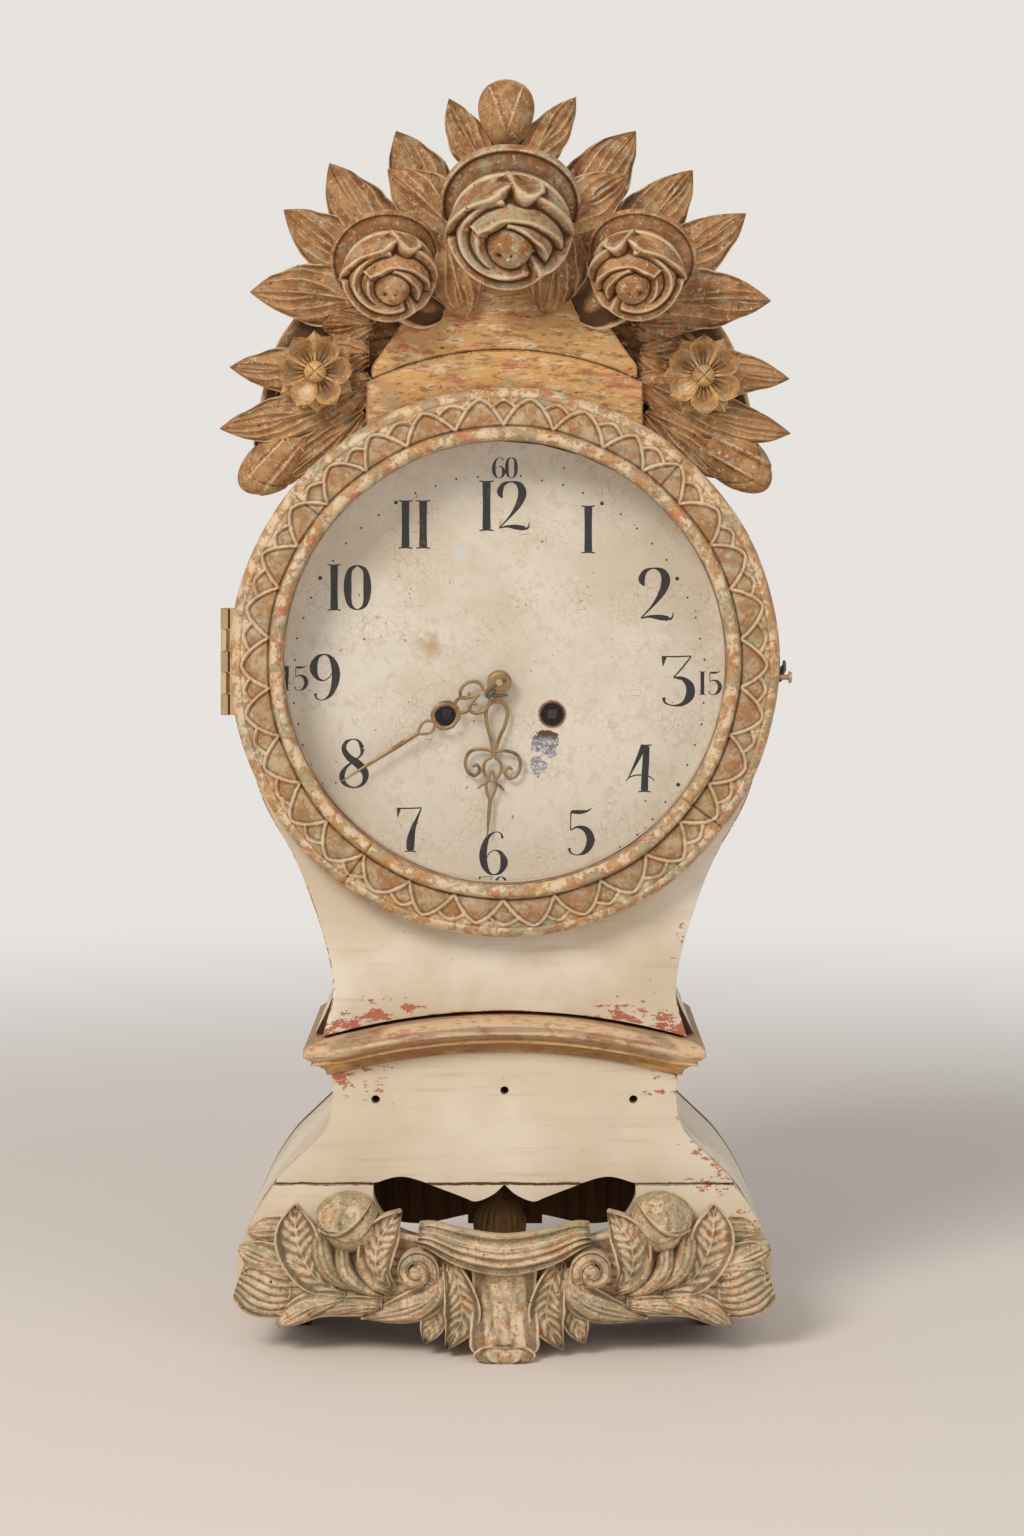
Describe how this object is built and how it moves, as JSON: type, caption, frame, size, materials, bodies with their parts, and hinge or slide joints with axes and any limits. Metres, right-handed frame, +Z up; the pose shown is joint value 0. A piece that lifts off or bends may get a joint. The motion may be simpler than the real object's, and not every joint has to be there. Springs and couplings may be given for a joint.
{
  "type": "table clock",
  "caption": "Carved and painted wooden table clock with a hinged glazed bezel, pierced hands, a leaf and rose crest and a pendulum seen through the base.",
  "frame": {"origin": "on the surface that the clock stands on, under the middle of its bounding box", "axes": "+Z up, the dial faces -Y, +X to the right seen from the front"},
  "size_m": [0.3204, 0.205, 0.712],
  "materials": {
    "cream_paint": "worn chalky cream paint",
    "ochre_paint": "worn ochre paint",
    "sage_paint": "worn sage paint",
    "bare_wood": "bare aged wood",
    "dial_paint": "aged cream dial paint",
    "brass": "dulled brass",
    "bronze": "dark bronzed brass",
    "iron": "dark forged iron",
    "glass": "clear thin glass"
  },
  "bodies": {
    "case": {"apron_center": "sage_paint", "apron_left": "sage_paint", "apron_right": "sage_paint", "back_board": "bare_wood", "back_cock": "brass", "base_front_board": "cream_paint", "base_lower_plank": "cream_paint", "base_side_left": "cream_paint", "base_side_right": "cream_paint", "bell": "bronze", "bell_stand": "iron", "crest_arch_band": "ochre_paint", "crest_center_spray": "ochre_paint", "crest_flower_left": "sage_paint", "crest_flower_peg_left": "ochre_paint", "crest_flower_peg_right": "ochre_paint", "crest_flower_right": "sage_paint", "crest_pediment": "ochre_paint", "crest_rose_center": "sage_paint", "crest_rose_left": "sage_paint", "crest_rose_right": "sage_paint", "crest_wing_left": "ochre_paint", "crest_wing_right": "ochre_paint", "dial": "dial_paint", "hinge_case_leaf": "brass", "hinge_pin": "iron", "latch_screw": "iron", "movement_back_plate": "brass", "movement_front_plate": "brass", "seat_board": "bare_wood", "upper_front_board": "cream_paint", "upper_side_left": "cream_paint", "upper_side_right": "cream_paint", "waist_moulding_front": "cream_paint", "waist_moulding_left": "cream_paint", "waist_moulding_right": "cream_paint"},
    "door": {"bezel": "ochre_paint", "door_glass": "glass", "glazing_bead": "bare_wood", "hinge_door_leaf": "brass", "latch_pin": "brass"},
    "latch": {"latch_hook": "iron"},
    "minute": {"center_arbor": "brass", "minute_hand": "bronze", "hand_collet": "brass", "hand_pin": "iron"},
    "hour": {"hour_wheel": "brass", "hour_hand": "bronze"},
    "motion": {"minute_wheel": "brass"},
    "going": {"going_barrel": "brass"},
    "strike": {"strike_barrel": "brass"},
    "third": {"third_wheel": "brass"},
    "escape": {"escape_wheel": "brass"},
    "anchor_body": {"anchor": "iron"},
    "pendulum": {"pendulum_rod": "iron", "pendulum_bob": "bronze"},
    "hammer_body": {"hammer": "iron"}
  },
  "joints": [
    {"name": "door_hinge", "type": "hinge", "parent": "case", "child": "door", "pos_m": [-0.1562, -0.0486, 0.3868], "axis": [0, 0, -1], "range_deg": [0, 110]},
    {"name": "latch_pivot", "type": "hinge", "parent": "case", "child": "latch", "pos_m": [0.15488, -0.0275, 0.3786], "axis": [-1, 0, 0], "range_deg": [-9, 70]},
    {"name": "minute_spin", "type": "hinge", "parent": "case", "child": "minute", "pos_m": [-0.003, -0.015, 0.375], "axis": [0, 1, 0], "continuous": true},
    {"name": "hour_spin", "type": "hinge", "parent": "case", "child": "hour", "pos_m": [-0.003, -0.015, 0.375], "axis": [0, 1, 0], "continuous": true},
    {"name": "motion_spin", "type": "hinge", "parent": "case", "child": "motion", "pos_m": [-0.003, -0.015, 0.3574], "axis": [0, 1, 0], "continuous": true},
    {"name": "going_spin", "type": "hinge", "parent": "case", "child": "going", "pos_m": [-0.03285, -0.015, 0.3564], "axis": [0, 1, 0], "continuous": true},
    {"name": "strike_spin", "type": "hinge", "parent": "case", "child": "strike", "pos_m": [0.02685, -0.015, 0.3564], "axis": [0, 1, 0], "continuous": true},
    {"name": "third_spin", "type": "hinge", "parent": "case", "child": "third", "pos_m": [0.01017, -0.015, 0.39788], "axis": [0, 1, 0], "continuous": true},
    {"name": "escape_spin", "type": "hinge", "parent": "case", "child": "escape", "pos_m": [-0.003, -0.015, 0.415], "axis": [0, 1, 0], "continuous": true},
    {"name": "anchor_rock", "type": "hinge", "parent": "case", "child": "anchor_body", "pos_m": [-0.003, 0.0425, 0.437], "axis": [0, 1, 0], "range_deg": [-4, 4]},
    {"name": "pendulum_swing", "type": "hinge", "parent": "case", "child": "pendulum", "pos_m": [-0.003, 0.0425, 0.437], "axis": [0, 1, 0], "range_deg": [-4, 4]},
    {"name": "hammer_lift", "type": "hinge", "parent": "case", "child": "hammer_body", "pos_m": [0.042, -0.0057, 0.405], "axis": [0, 1, 0], "range_deg": [0, 12]}
  ],
  "couplings": [
    {"joint": "hour_spin", "follows": "minute_spin", "ratio": 0.083333},
    {"joint": "motion_spin", "follows": "minute_spin", "ratio": -0.33333},
    {"joint": "going_spin", "follows": "minute_spin", "ratio": -0.25},
    {"joint": "third_spin", "follows": "minute_spin", "ratio": -5},
    {"joint": "escape_spin", "follows": "minute_spin", "ratio": 25},
    {"joint": "anchor_rock", "follows": "pendulum_swing", "ratio": 1}
  ]
}
